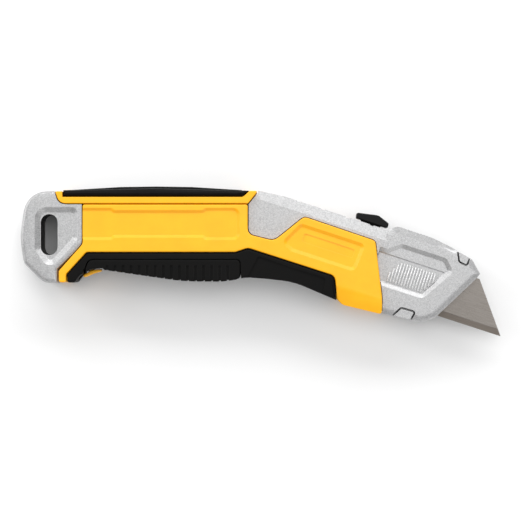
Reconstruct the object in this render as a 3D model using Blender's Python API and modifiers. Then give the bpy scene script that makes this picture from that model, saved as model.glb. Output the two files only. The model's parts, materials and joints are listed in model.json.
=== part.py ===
"""Retractable utility knife with a swing-out spare blade magazine.

The knife lies on its right side. Lengths are in millimetres and become metres
as each mesh is made. Two flat frames share the middle plane of the knife:
the handle frame (x towards the nose, y towards the spine) and the blade frame
(s along the blade, n across it), which is the handle frame turned down by
NOSE_TILT. A third number, w, is the distance from the middle plane, positive
towards the left side.
"""
import math

import bmesh
import bpy
from mathutils import Matrix, Vector

MM = 0.001

# Gaps
SEAM = 0.35  # between neighbouring covers, seen from the side
GAP = 0.3  # between any other two pieces that touch
TAB_GAP = 0.8  # around the tabs that lock the two halves at the nose

# Overall shape
HANDLE_LENGTH = 79.0  # from the bend of the knife back to the tail
HANDLE_TOP = 27.5
RAIL_BOTTOM = 22.4
TAIL_BOTTOM = -8.2
NOSE_TILT = math.radians(18.1)
NOSE_LENGTH = 71.8  # from the bend to the lower corner of the blade's mouth

# Half thicknesses, out from the middle plane
PANEL_HALF = 11.0
TAIL_HALF = PANEL_HALF - 0.4
BELLY_HALF = PANEL_HALF - 0.4
RAIL_HALF = PANEL_HALF - 0.3
TOP_GRIP_HALF = PANEL_HALF - 0.8
NOSE_HALF = PANEL_HALF - 2.6
CORE_HALF = PANEL_HALF - 3.4
RIDGE_HALF = 4.0

# Bevels along the outer edges
TAIL_EDGE = 1.8
NOSE_EDGE = 2.4
PANEL_EDGE = 0.7
BELLY_EDGE = 0.8
DOOR_EDGE = 0.6
RAIL_EDGE = 0.4
TOP_GRIP_EDGE = 1.2
RIDGE_EDGE = 0.5

# Blade
BLADE_LENGTH = 61.0
BLADE_WIDTH = 18.8
BLADE_THICKNESS = 0.6
BLADE_END_SLANT = 14.8
BLADE_EDGE_N = 1.3
BLADE_BEVEL = 2.4
BLADE_OUT = 26.4  # how far the point stands out past the mouth
NOTCH_OFFSET = 6.0
NOTCH_WIDTH = 3.4
NOTCH_DEPTH = 2.5
BLADE_TRAVEL = 30.0
STOPS = 4

# Blade channel and carrier
CHANNEL_HALF = 3.3
CHANNEL_FLOOR = 0.6
GUIDE_TOP = 5.4
CARRIER_FLOOR = 6.0
CARRIER_TOP = 21.5
CARRIER_REAR = NOSE_LENGTH - 47.8
CARRIER_FRONT = NOSE_LENGTH - 6.8
CARRIER_HALF = 2.9
SADDLE_FLOOR = 16.5
TRACK_TOP = 27.0
SLOT_HALF = 1.7
HUMP_REAR = NOSE_LENGTH - 28.6  # the track ends at this step
INDEX_BOTTOM = 20.5

# Button
BUTTON_REAR = NOSE_LENGTH - 42.3
BUTTON_FRONT = NOSE_LENGTH - 29.1
BUTTON_TOP = 31.3
BUTTON_HALF = 5.0
BUTTON_PRESS = 0.4
NECK_REAR = NOSE_LENGTH - 39.8
NECK_FRONT = NOSE_LENGTH - 31.8
NECK_BOTTOM = 19.0
EAR = 2.4

# Magazine
PIVOT = (-10.2, -4.7)
PIN_RADIUS = 0.9
PIN_HALF = BELLY_HALF - 1.2
KNUCKLE_RADIUS = 2.2
SPARE_BLADES = 3
SPARE_PITCH = 1.0
SPARE_EDGE_Y = -0.5
SPARE_FRONT_X = -9.3
TRAY_FLOOR = 0.8
TRAY_TOP = 7.0
TRAY_HALF = 2.6
TRAY_SLOT_HALF = 1.75
BAY_HALF = 3.4
BAY_TOP = 18.9
DOOR_TOP = 0.8
RIB_PITCH = 3.12
RIB_COUNT = 16
RIB_GROOVE = 1.1
LATCH_HALF = 5.0
LATCH_PRESS = 1.0

# Lanyard slot
SLOT_X = -3.55  # its middle, from the tail seam
SLOT_Y = 10.5
SLOT_WIDTH = 6.6
SLOT_HEIGHT = 16.0
LINER_WALL = 0.9
TAIL_POCKET_DEPTH = 1.3

# Sunk fields: of the side panels, of the belly grip's front pad, and the small blank label
FIELD_DEPTH = 0.8
PAD_DEPTH = 0.5
LABEL_DEPTH = 1.1

# Finger recess at the nose, measured in from the nose's outer face
RECESS_LEDGE = 1.0
RECESS_DEPTH = 1.35
RIB_HEIGHT = 0.7
FINGER_RIB_PITCH = 1.13

# Screws
SCREW_RADIUS = 1.2
SCREW_HEAD_RADIUS = 2.2
SCREW_HEAD_HEIGHT = 1.8
SCREW_REACH = 5.0

TAIL_X = -HANDLE_LENGTH
BLADE_TIP_S = NOSE_LENGTH + BLADE_OUT
BLADE_BACK_N = BLADE_EDGE_N + BLADE_WIDTH
SPARE_REAR_X = SPARE_FRONT_X - BLADE_LENGTH
TRAY_REAR_X = SPARE_REAR_X - 0.8
TRAY_FRONT_X = SPARE_FRONT_X + 0.7
DOOR_REAR_X = SPARE_REAR_X + 1.1
THROUGH = 40.0  # reach of a cutter that goes right through


# ---------------------------------------------------------------- outlines


def nose(s, n, radius=0.0):
    """A corner given in the blade frame, as a corner in the handle frame."""
    cos, sin = math.cos(NOSE_TILT), math.sin(NOSE_TILT)
    return (s * cos + n * sin, n * cos - s * sin, radius)


def signed_area(corners):
    area = 0.0
    for (ax, ay, _), (bx, by, _) in zip(corners, corners[1:] + corners[:1]):
        area += ax * by - bx * ay
    return area / 2


def grow(corners, distance):
    """The outline moved outwards, or inwards where distance is negative."""
    if signed_area(corners) < 0:
        corners = corners[::-1]
    moved = []
    count = len(corners)
    for i, (x, y, radius) in enumerate(corners):
        here = Vector((x, y))
        before = (here - Vector(corners[i - 1][:2])).normalized()
        after = (Vector(corners[(i + 1) % count][:2]) - here).normalized()
        out_a = Vector((before.y, -before.x))
        out_b = Vector((after.y, -after.x))
        miter = (out_a + out_b) / (1 + out_a.dot(out_b))
        point = here + miter * distance
        convex = before.cross(after) > 0
        new_radius = radius + distance if convex else radius - distance
        moved.append((point.x, point.y, max(new_radius, 0.0) if radius else 0.0))
    return moved


def rounded(corners):
    """Outline points, with each corner's radius drawn as an arc."""
    points = []
    count = len(corners)
    for i, (x, y, radius) in enumerate(corners):
        corner = Vector((x, y))
        to_last = Vector(corners[i - 1][:2]) - corner
        to_next = Vector(corners[(i + 1) % count][:2]) - corner
        room = 0.49 * min(to_last.length, to_next.length)
        turn = math.pi - to_last.angle(to_next)
        if radius <= 0 or turn < 0.01:
            points.append((x, y))
            continue
        radius = min(radius, room / math.tan(turn / 2))
        step = min(math.radians(30), 2 * math.acos(max(1 - 0.06 / radius, 0.7)))
        steps = max(1, math.ceil(turn / step))
        tangent = radius * math.tan(turn / 2)
        start = corner + to_last.normalized() * tangent
        middle = (to_last.normalized() + to_next.normalized()).normalized()
        centre = corner + middle * radius / math.cos(turn / 2)
        spoke = start - centre
        side = 1 if to_last.cross(to_next) < 0 else -1
        for k in range(steps + 1):
            angle = side * turn * k / steps
            cos, sin = math.cos(angle), math.sin(angle)
            points.append(
                (
                    centre.x + spoke.x * cos - spoke.y * sin,
                    centre.y + spoke.x * sin + spoke.y * cos,
                )
            )
    return points


def room_for_bevel(corners, width):
    """Outer corners are rounded wider than the bevel, or left sharp where there is no room."""
    if signed_area(corners) < 0:
        corners = corners[::-1]
    eased = []
    count = len(corners)
    for i, (x, y, radius) in enumerate(corners):
        to_last = Vector(corners[i - 1][:2]) - Vector((x, y))
        to_next = Vector(corners[(i + 1) % count][:2]) - Vector((x, y))
        turn = math.pi - to_last.angle(to_next)
        if radius and to_last.cross(to_next) < 0:
            room = 0.49 * min(to_last.length, to_next.length)
            radius = min(max(radius, 1.2 * width), room / math.tan(turn / 2))
            radius = radius if radius > 1.1 * width else 0.0
        eased.append((x, y, radius))
    return eased


def box(x0, x1, y0, y1, radius=0.0):
    return [(x0, y0, radius), (x1, y0, radius), (x1, y1, radius), (x0, y1, radius)]


def obround(x, y, width, height):
    return box(x - width / 2, x + width / 2, y - height / 2, y + height / 2, width / 2 - 0.01)


# ---------------------------------------------------------------- objects


def material(name, color, roughness, metallic=0.0):
    made = bpy.data.materials.new(name)
    made.use_nodes = True
    shader = made.node_tree.nodes["Principled BSDF"]
    shader.inputs["Base Color"].default_value = (*color, 1.0)
    shader.inputs["Roughness"].default_value = roughness
    shader.inputs["Metallic"].default_value = metallic
    return made


def put(name, mesh, parent, look=None):
    """Links a mesh as a part, or as a helper shape where look is None."""
    obj = bpy.data.objects.new(name, mesh)
    if look is None:
        helpers.objects.link(obj)
        obj.hide_render = True
        obj.display_type = "WIRE"
    else:
        parts.objects.link(obj)
        mesh.materials.append(material(name, *LOOKS[look]))
        mesh.shade_smooth()
        mesh.set_sharp_from_angle(angle=math.radians(35))
    obj.parent = parent
    obj.location = -Vector(parent.get("offset", (0, 0, 0))) * MM
    return obj


def slab_mesh(name, outline, low, high, top=0.0, bottom=0.0, segments=1, drop=1.0):
    """An outline drawn out from w = low to w = high, its end edges bevelled.

    A bevel reaches drop times its own width down the side walls.
    """
    bm = bmesh.new()
    points = rounded(room_for_bevel(outline, max(top, bottom)) if top or bottom else outline)
    if signed_area([(x, y, 0) for x, y in points]) < 0:
        points = points[::-1]
    base = [bm.verts.new((x * MM, y * MM, low * MM)) for x, y in points]
    face = bm.faces.new(base)
    drawn = bmesh.ops.extrude_face_region(bm, geom=[face])["geom"]
    lifted = [item for item in drawn if isinstance(item, bmesh.types.BMVert)]
    bmesh.ops.translate(bm, verts=lifted, vec=(0, 0, (high - low) * MM))
    bmesh.ops.recalc_face_normals(bm, faces=bm.faces)
    for level, width in ((high, top), (low, bottom)):
        if width:
            edges = [e for e in bm.edges if all(abs(v.co.z - level * MM) < 1e-7 for v in e.verts)]
            bmesh.ops.bevel(
                bm,
                geom=edges,
                offset=width * MM,
                segments=segments,
                profile=0.5,
                affect="EDGES",
                clamp_overlap=False,
            )
            for vert in bm.verts:
                rise = vert.co.z - level * MM
                if abs(rise) < (width + 0.01) * MM:
                    vert.co.z = level * MM + rise * drop
    mesh = bpy.data.meshes.new(name)
    bm.to_mesh(mesh)
    bm.free()
    return mesh


def slab(name, outline, low, high, parent, look=None, top=0.0, bottom=0.0, segments=1, drop=1.0):
    mesh = slab_mesh(name, outline, low, high, top, bottom, segments, drop)
    return put(name, mesh, parent, look)


def half_slab(name, outline, inner, outer, side, parent, look=None, edge=0.0, segments=1, drop=1.0):
    """A slab of one half of the knife, bevelled on its outer face."""
    if side > 0:
        return slab(name, outline, inner, outer, parent, look, edge, 0.0, segments, drop)
    return slab(name, outline, -outer, -inner, parent, look, 0.0, edge, segments, drop)


def basin(name, outline, floor, surface, side, parent, slope):
    """A cutter for a sunk field, from its floor out past the surface, with sloping walls.

    The outline is the field's edge at the surface, and slope is the width of its walls.
    """
    depth = surface - floor
    low, high = sorted((side * floor, side * (surface + 2 * slope + 1)))
    drop = depth / slope
    if side > 0:
        return slab(name, outline, low, high, parent, None, 0.0, slope, 1, drop)
    return slab(name, outline, low, high, parent, None, slope, 0.0, 1, drop)


def boolean(obj, tool, operation):
    modifier = obj.modifiers.new(tool.name, "BOOLEAN")
    modifier.object = tool
    modifier.operation = operation
    modifier.solver = "EXACT"


def cut(obj, *tools):
    for tool in tools:
        boolean(obj, tool, "DIFFERENCE")


def join(obj, *tools):
    for tool in tools:
        boolean(obj, tool, "UNION")


def bars(name, boxes, parent):
    """Several separate boxes in one helper mesh: (x, y, w, x size, y size, w size)."""
    bm = bmesh.new()
    for x, y, w, size_x, size_y, size_w in boxes:
        place = Matrix.Translation(Vector((x, y, w)) * MM)
        scale = Matrix.Diagonal((size_x * MM, size_y * MM, size_w * MM, 1))
        bmesh.ops.create_cube(bm, size=1, matrix=place @ scale)
    mesh = bpy.data.meshes.new(name)
    bm.to_mesh(mesh)
    bm.free()
    return put(name, mesh, parent)


def rod(name, x, y, low, high, radius, parent, look=None, sides=24):
    """A round bar across the knife."""
    bm = bmesh.new()
    bmesh.ops.create_cone(
        bm,
        cap_ends=True,
        segments=sides,
        radius1=radius * MM,
        radius2=radius * MM,
        depth=(high - low) * MM,
        matrix=Matrix.Translation(Vector((x, y, (low + high) / 2)) * MM),
    )
    mesh = bpy.data.meshes.new(name)
    bm.to_mesh(mesh)
    bm.free()
    return put(name, mesh, parent, look)


def empty(name, parent=None):
    obj = bpy.data.objects.new(name, None)
    parts.objects.link(obj)
    obj.parent = parent
    return obj


# ---------------------------------------------------------------- shared outlines


def tail_seam():
    """From the bottom of the tail up to the rail: the tail's front boundary."""
    return [
        (TAIL_X + 0.1, TAIL_BOTTOM, 0.3),
        (TAIL_X, -3.6, 2.0),
        (TAIL_X + 9.3, 6.9, 2.0),
        (TAIL_X + 9.3, RAIL_BOTTOM, 0.5),
    ]


def tail_block():
    """The tail's outer shape, carried on under the covers."""
    return [
        (TAIL_X + 16.0, HANDLE_TOP, 0.0),
        (TAIL_X - 12.3, HANDLE_TOP - 0.2, 9.0),
        (TAIL_X - 15.0, 9.0, 30.0),
        (TAIL_X - 13.4, TAIL_BOTTOM + 7.6, 4.0),
        (TAIL_X - 5.6, TAIL_BOTTOM, 5.0),
        (TAIL_X + 0.1 - SEAM / 2, TAIL_BOTTOM, 0.0),
        (TAIL_X + 0.1 - SEAM / 2, -3.0, 0.0),
        (TAIL_X + 16.0, 12.0, 0.0),
    ]


def window_seam():
    """Boundary of the left and right panels with the cast body, top to bottom."""
    return [
        (-5.2, RAIL_BOTTOM, 0.5),
        (-5.2, 10.8, 2.5),
        (4.8, 8.3, 4.0),
        nose(10.2, 21.9, 2.5),
        nose(39.6, 21.6, 2.0),
        nose(49.0, 1.3, 6.0),
        nose(50.9, -5.1, 0.8),
    ]


def belly_seam():
    """Boundary of the panels with the belly grips, from the tail to the nose."""
    return [
        (TAIL_X + 3.3, TAIL_BOTTOM - 0.1, 0.3),
        (TAIL_X + 3.3, -5.0, 1.0),
        (TAIL_X + 11.1, 3.55, 1.2),
        (-10.2, 3.55, 2.0),
        (-5.3, 5.2, 3.0),
        nose(28.6, 3.45, 2.5),
        nose(32.3, -4.7, 0.6),
    ]


def panel_outline():
    return [
        *belly_seam(),
        nose(35.3, -6.35, 2.0),
        *window_seam()[::-1],
        *tail_seam()[::-1],
    ]


def nose_block():
    """The cast spine and nose, carried on under the covers."""
    mouth_s, mouth_n = NOSE_LENGTH, BLADE_EDGE_N
    slope = BLADE_END_SLANT / BLADE_WIDTH * 0.67
    top_n = BLADE_BACK_N - 0.2
    corner_s = mouth_s + (top_n - mouth_n) * slope
    return [
        nose(40.0, -3.4, 0.0),
        nose(51.0, -4.5, 0.0),
        nose(mouth_s - 5.6, -3.1, 6.0),
        nose(mouth_s - 0.8, mouth_n - 1.0, 2.0),
        nose(corner_s, top_n, 1.0),
        nose(corner_s + 0.7, top_n + 2.0, 0.6),
        nose(mouth_s + 5.6, TRACK_TOP - 0.5, 1.5),
        nose(mouth_s - 4.0, TRACK_TOP + 1.4, 20.0),
        nose(mouth_s - 11.8, TRACK_TOP + 2.6, 20.0),
        nose(HUMP_REAR + 2.8, TRACK_TOP + 2.6, 2.5),
        nose(HUMP_REAR, TRACK_TOP, 1.5),
        nose(1.0, TRACK_TOP, 20.0),
        (-1.0, HANDLE_TOP + 0.2, 0.0),
        (-10.0, HANDLE_TOP + 0.2, 0.0),
        (-10.0, 9.0, 0.0),
        nose(30.0, 8.0, 0.0),
    ]


def rail_outline():
    corners = [
        (TAIL_X - 1.4, HANDLE_TOP, 0.5),
        (TAIL_X + 0.2, RAIL_BOTTOM, 6.0),
        (-5.2, RAIL_BOTTOM, 0.5),
        (-1.0, HANDLE_TOP + 0.2, 0.5),
    ]
    return room_for_bevel(corners, RAIL_EDGE)


def top_grip_outline():
    middle = (TAIL_X - 3.6) / 2
    corners = [
        (TAIL_X + 1.9, 25.4, 2.0),
        (-7.3, 25.4, 0.4),
        (-5.0, HANDLE_TOP + 0.1, 0.4),
        (middle, HANDLE_TOP + 1.1, 0.0),
        (TAIL_X + 1.9, HANDLE_TOP + 0.3, 1.2),
    ]
    return room_for_bevel(corners, TOP_GRIP_EDGE)


def ridge_outline():
    middle = (TAIL_X - 3.6) / 2
    corners = [
        (TAIL_X + 5.0, 26.4, 0.3),
        (-9.5, 26.4, 0.3),
        (-7.8, HANDLE_TOP + 0.5, 0.6),
        (middle + 14, HANDLE_TOP + 1.7, 0.0),
        (middle, HANDLE_TOP + 1.9, 0.0),
        (middle - 14, HANDLE_TOP + 1.7, 0.0),
        (TAIL_X + 4.0, HANDLE_TOP + 0.5, 0.6),
    ]
    return room_for_bevel(corners, RIDGE_EDGE)


def belly_bottom():
    """The knife's lower edge, from the tail to the front of the belly."""
    return [
        (TAIL_X + 3.3, TAIL_BOTTOM - 0.1, 0.4),
        (DOOR_REAR_X - 3.4, TAIL_BOTTOM - 0.1, 1.0),
        (DOOR_REAR_X - 1.2, -5.4, 1.0),
        (DOOR_REAR_X + 6.7, -2.6, 5.0),
        (-31.0, -7.6, 60.0),
        (-15.0, -7.8, 30.0),
        (-5.6, -6.3, 8.0),
        nose(3.2, -6.1, 25.0),
        nose(14.0, -3.8, 30.0),
        nose(32.4, -5.4, 0.5),
    ]


def belly_outline():
    return [*belly_bottom(), *belly_seam()[::-1][:-1]]


def core_outline():
    """The cast body under the covers."""
    knuckle = KNUCKLE_RADIUS + 0.6
    lug_bottom = PIVOT[1] - 1.6
    return [
        (TAIL_X - 4.0, TAIL_BOTTOM + 2.4, 1.0),
        (DOOR_REAR_X - 4.2, TAIL_BOTTOM + 2.4, 1.0),
        (DOOR_REAR_X - 0.2, 0.4, 1.0),
        (DOOR_REAR_X + 7.2, 0.2, 4.0),
        (-29.0, -4.6, 20.0),
        (PIVOT[0] - knuckle, -4.3, 0.5),
        (PIVOT[0] - knuckle, lug_bottom, 1.0),
        (PIVOT[0] + KNUCKLE_RADIUS - 0.4, lug_bottom, 1.0),
        (PIVOT[0] + KNUCKLE_RADIUS - 0.4, -4.3, 0.5),
        nose(6.0, -2.9, 10.0),
        nose(31.0, -2.7, 2.0),
        nose(52.0, -3.4, 1.0),
        nose(52.0, 22.5, 1.0),
        nose(8.0, TRACK_TOP - 2.0, 4.0),
        (-7.0, 22.05, 1.0),
        (TAIL_X - 4.0, 22.05, 1.0),
    ]


def door_outline():
    """The magazine door from the side."""
    front = PIVOT[0] + KNUCKLE_RADIUS - 0.3
    corners = [
        (DOOR_REAR_X + 0.2, -4.4, 0.6),
        (DOOR_REAR_X + 3.2, -2.9, 2.0),
        (DOOR_REAR_X + 7.4, -2.5, 0.5),
        (DOOR_REAR_X + 8.0, -3.2, 0.5),
        *belly_bottom()[4:6],
        (front, PIVOT[1] - KNUCKLE_RADIUS + 0.2, 2.0),
        (front, DOOR_TOP, 1.6),
        (DOOR_REAR_X + 2.0, DOOR_TOP, 2.5),
    ]
    return room_for_bevel(corners, DOOR_EDGE)


# ---------------------------------------------------------------- cast body


def slope_cutter(name, s0, s1, face_w, face_n, far_w, far_n, side):
    """Takes a sloping strip off one flank between s0 and s1.

    The slope starts on the flank at face_w and face_n, and passes through far_w and far_n.
    """
    bm = bmesh.new()
    beyond = 4.0
    slope = (far_n - face_n) / (face_w - far_w)
    section = [
        (face_w + beyond, face_n - slope * beyond),
        (far_w - beyond, far_n + slope * beyond),
        (face_w + beyond, far_n + slope * beyond),
    ]
    ring = [bm.verts.new((s0 * MM, n * MM, side * w * MM)) for w, n in section]
    face = bm.faces.new(ring)
    drawn = bmesh.ops.extrude_face_region(bm, geom=[face])["geom"]
    lifted = [item for item in drawn if isinstance(item, bmesh.types.BMVert)]
    bmesh.ops.translate(bm, verts=lifted, vec=((s1 - s0) * MM, 0, 0))
    bmesh.ops.recalc_face_normals(bm, faces=bm.faces)
    mesh = bpy.data.meshes.new(name)
    bm.to_mesh(mesh)
    bm.free()
    return put(name, mesh, blade_frame)


def tab_outlines():
    """The two interlocking tabs at the nose, in the blade frame."""
    top = [(-0.9, 29.5, 0.0), (1.5, 24.2, 0.4), (4.2, 23.8, 0.4), (4.4, 29.0, 0.0)]
    bottom = [(-10.3, -5.0, 0.0), (-9.4, -0.4, 0.4), (-14.5, -0.6, 0.4), (-17.2, -5.6, 0.0)]
    tabs = {"top": top, "bottom": bottom}
    return {key: [(NOSE_LENGTH + s, n, r) for s, n, r in tab] for key, tab in tabs.items()}


def channel_cutters():
    """Everything hollowed from both halves for the blade and its carrier."""
    rear = CARRIER_REAR - BLADE_TRAVEL - 2 * GAP
    front = CARRIER_FRONT + 2 * GAP
    top = CARRIER_TOP + 0.4
    slot_rear = NECK_REAR - EAR - BLADE_TRAVEL - 3 * GAP
    slot_front = NECK_FRONT + EAR + 3 * GAP
    mouth_half = BLADE_THICKNESS / 2 + GAP
    yield slab(
        "channel", box(rear, front, CHANNEL_FLOOR, top), -CHANNEL_HALF, CHANNEL_HALF, blade_frame
    )
    yield slab(
        "mouth",
        box(front - 5, BLADE_TIP_S, BLADE_EDGE_N - GAP, BLADE_BACK_N + GAP),
        -mouth_half,
        mouth_half,
        blade_frame,
    )
    yield slab(
        "button_slot",
        box(slot_rear, slot_front, top - 1, TRACK_TOP + 6, 0),
        -SLOT_HALF,
        SLOT_HALF,
        blade_frame,
    )


def stop_notches():
    """Shallow finger notches across the track, one for each blade stop."""
    pitch = BLADE_TRAVEL / (STOPS - 1)
    last = (BUTTON_REAR + BUTTON_FRONT) / 2 + 0.4
    spots = [last - pitch * k for k in range(STOPS)]
    boxes = [(s, TRACK_TOP + 0.65, 0, 1.5, 2.0, 30) for s in spots]
    return bars("stop_notches", boxes, blade_frame)


def spine_teeth():
    """Fine anti-slip grooves across the hump in front of the button."""
    boxes = [(HUMP_REAR + 6.8 + 1.3 * k, TRACK_TOP + 2.9, 0, 0.6, 0.8, 30) for k in range(12)]
    return bars("spine_teeth", boxes, blade_frame)


def bay_cutter():
    """The space the magazine tray and its blades swing in."""
    rear = TRAY_REAR_X - 1.7
    front = PIVOT[0] + 3.0
    outline = [
        (rear, -14.0, 0.0),
        (front, -14.0, 0.0),
        (front, 6.0, 1.0),
        (-20.5, BAY_TOP, 2.0),
        (SPARE_REAR_X + BLADE_END_SLANT - 3.0, BAY_TOP, 2.0),
        (rear, 6.0, 2.0),
    ]
    return slab("bay", outline, -BAY_HALF, BAY_HALF, handle_frame)


def liner_cutters():
    x = TAIL_X + SLOT_X
    floor = TAIL_HALF - TAIL_POCKET_DEPTH
    grown = 2 * (LINER_WALL + GAP)
    yield slab("lanyard", obround(x, SLOT_Y, SLOT_WIDTH, SLOT_HEIGHT), -THROUGH, THROUGH, handle_frame)
    yield slab(
        "liner_seat",
        obround(x, SLOT_Y, SLOT_WIDTH + grown, SLOT_HEIGHT + grown),
        -floor + 0.6,
        floor - 0.6,
        handle_frame,
    )


def tail_pocket(side):
    """The sunk field round the lanyard slot."""
    outline = [
        (TAIL_X - 9.1, 21.2, 4.5),
        (TAIL_X - 9.1, 4.8, 3.0),
        (TAIL_X - 4.8, -1.3, 2.5),
        (TAIL_X - 1.4, -1.3, 2.0),
        (TAIL_X + 7.6, 8.4, 2.0),
        (TAIL_X + 7.6, 21.2, 1.8),
    ]
    floor = TAIL_HALF - TAIL_POCKET_DEPTH
    return basin("tail_pocket", outline, floor, TAIL_HALF, side, handle_frame, 2.1)


def nose_recess(side):
    """The finger recess at the nose: a ledge along its top and a deeper field below."""
    ledge = [
        (42.0, 5.7, 0.0),
        (NOSE_LENGTH - 7.9, 5.7, 2.5),
        (NOSE_LENGTH + 0.4, 19.3, 2.0),
        (NOSE_LENGTH - 3.8, 23.6, 1.5),
        (49.6, 23.6, 2.0),
        (45.0, 20.0, 0.0),
        (42.0, 20.0, 0.0),
    ]
    field = [
        (42.0, 6.9, 0.0),
        (NOSE_LENGTH - 8.6, 6.9, 2.0),
        (NOSE_LENGTH - 2.0, 18.3, 0.8),
        (42.0, 18.3, 0.0),
    ]
    ledge_face, field_face = NOSE_HALF - RECESS_LEDGE, NOSE_HALF - RECESS_DEPTH
    yield basin("ledge", ledge, ledge_face, NOSE_HALF, side, blade_frame, 1.7)
    yield basin("finger_field", field, field_face, ledge_face, side, blade_frame, 0.5)


def nose_ribs(side):
    """Raised finger ribs in the nose recess, within a six-sided patch."""
    boxes = []
    buried = 0.3
    rear, front = 48.6, NOSE_LENGTH - 6.05
    for k in range(math.ceil((front - rear) / FINGER_RIB_PITCH)):
        s = front - FINGER_RIB_PITCH * k
        low = 8.2 + max(s - (NOSE_LENGTH - 9.2), 0) * 1.45
        high = min(16.3, 11.2 + (s - rear) * 1.6)
        w = side * (NOSE_HALF - RECESS_DEPTH + (RIB_HEIGHT - buried) / 2)
        boxes.append((s, (low + high) / 2, w, 0.5, high - low, RIB_HEIGHT + buried))
    return bars("nose_ribs", boxes, blade_frame)


def body_shell(name, side):
    inner = SEAM / 2
    shell = half_slab(name, core_outline(), inner, CORE_HALF, side, handle_frame, "cast")
    join(
        shell,
        half_slab(name + "_tail", tail_block(), inner, TAIL_HALF, side, handle_frame, None, TAIL_EDGE, 2),
        half_slab(
            name + "_nose", nose_block(), inner, NOSE_HALF, side, handle_frame, None, NOSE_EDGE, 1, 0.5
        ),
    )
    under_panel = grow(panel_outline(), SEAM / 2)
    cut(shell, half_slab("under_panel", under_panel, CORE_HALF, THROUGH, side, handle_frame))
    shoulders = (
        ("shoulder", -16, HUMP_REAR + 0.3, TRACK_TOP - 4.1, NOSE_HALF - 3.0, TRACK_TOP),
        (
            "hump_shoulder",
            HUMP_REAR + 0.4,
            NOSE_LENGTH + 20,
            TRACK_TOP - 0.2,
            NOSE_HALF - 2.8,
            TRACK_TOP + 2.6,
        ),
    )
    for key, s0, s1, face_n, far_w, far_n in shoulders:
        cut(shell, slope_cutter(key, s0, s1, NOSE_HALF, face_n, far_w, far_n, side))
    cut(shell, tail_pocket(side), *nose_recess(side), *shared_cuts)
    join(shell, nose_ribs(side))
    return shell


def shell_cuts():
    """Helper shapes that cut both halves alike."""
    tools = [*channel_cutters(), bay_cutter(), *liner_cutters(), stop_notches(), spine_teeth()]
    under_rail = grow(rail_outline(), SEAM / 2)
    tools.append(slab("under_rail", under_rail, -THROUGH, THROUGH, handle_frame))
    tools.append(rod("pin_bore", *PIVOT, -PIN_HALF - GAP, PIN_HALF + GAP, PIN_RADIUS + GAP, handle_frame))
    return tools


def interlock(left, right):
    """The right half's tabs reach across the seam into the left half."""
    for key, outline in tab_outlines().items():
        inside = to_handle(outline)
        cut(left, slab("notch_" + key, grow(inside, TAB_GAP), -1, THROUGH, handle_frame))
        shape = slab("tab_" + key, inside, -NOSE_HALF + 2, NOSE_HALF - 0.5, handle_frame)
        boolean(shape, slab("tab_keep_" + key, grow(nose_block(), -0.15), -9, 9, handle_frame), "INTERSECT")
        join(right, shape)


def to_handle(corners):
    return [nose(s, n, r) for s, n, r in corners]


# ---------------------------------------------------------------- screws


def screw_places():
    front_x, front_y, _ = nose(NOSE_LENGTH - 8.8, 25.4)
    return {
        "rear": (TAIL_X + 3.6, 14.5, TAIL_HALF - TAIL_POCKET_DEPTH),
        "middle": (-10.0, 17.0, CORE_HALF),
        "front": (front_x, front_y, NOSE_HALF),
    }


def turned(name, profile, parent, look, steps=24):
    """A round shape: its profile turned about its own z axis."""
    mesh = bpy.data.meshes.new(name)
    points = [(r * MM, 0, z * MM) for r, z in profile]
    mesh.from_pydata(points, [(i, i + 1) for i in range(len(points) - 1)], [])
    obj = put(name, mesh, parent, look)
    turn = obj.modifiers.new("turn", "SCREW")
    turn.steps = turn.render_steps = steps
    turn.use_merge_vertices = True
    turn.merge_threshold = 1e-6
    turn.use_smooth_shade = True
    return obj


def body_screws(left, right):
    """Three screws put in from the right side, heads sunk in counterbores."""
    for key, (x, y, face) in screw_places().items():
        head_out = -(face - 0.4)
        seat = head_out + SCREW_HEAD_HEIGHT
        profile = [
            (0.0, SCREW_REACH),
            (SCREW_RADIUS, SCREW_REACH),
            (SCREW_RADIUS, seat),
            (SCREW_HEAD_RADIUS, seat),
            (SCREW_HEAD_RADIUS, head_out + 0.3),
            (SCREW_HEAD_RADIUS - 0.3, head_out),
            (0.0, head_out),
        ]
        screw = turned("body_screw_" + key, profile, handle_frame, "steel")
        screw.location += Vector((x, y, 0)) * MM
        hexagon = rod("drive_" + key, x, y, head_out - 1, head_out + 1.0, 1.0, handle_frame, None, 6)
        cut(screw, hexagon)
        bore = rod("bore_" + key, x, y, seat - 1, SCREW_REACH + GAP, SCREW_RADIUS + GAP, handle_frame)
        well = rod(
            "well_" + key, x, y, -THROUGH, seat + GAP, SCREW_HEAD_RADIUS + GAP, handle_frame
        )
        cut(left, bore)
        cut(right, bore, well)


# ---------------------------------------------------------------- covers


def panel_recess(side):
    """The long shallow field of the handle and the slanted one ahead of it."""
    floor = PANEL_HALF - FIELD_DEPTH
    pinch = 0.9
    label_rear, label_front = -57.2, -22.9
    lower, upper = 8.4, 20.9
    field = [
        (TAIL_X + 5.0, lower, 0.0),
        (label_rear - pinch, lower, 1.0),
        (label_rear, lower + pinch, 1.0),
        (label_front, lower + pinch, 1.0),
        (label_front + pinch, lower, 1.0),
        (-8.5, lower, 2.5),
        (-8.5, upper, 2.5),
        (label_front + pinch, upper, 1.0),
        (label_front, upper - pinch, 1.0),
        (label_rear, upper - pinch, 1.0),
        (label_rear - pinch, upper, 1.0),
        (TAIL_X + 5.0, upper, 0.0),
    ]
    front = [
        nose(9.8, 18.9, 2.0),
        nose(36.4, 18.9, 2.0),
        nose(35.6, 7.4, 2.5),
        nose(9.4, 7.4, 2.0),
        nose(5.0, 9.8, 2.0),
    ]
    yield basin("field", field, floor, PANEL_HALF, side, handle_frame, 1.1)
    yield basin("front_field", front, floor, PANEL_HALF, side, handle_frame, 1.3)


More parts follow.
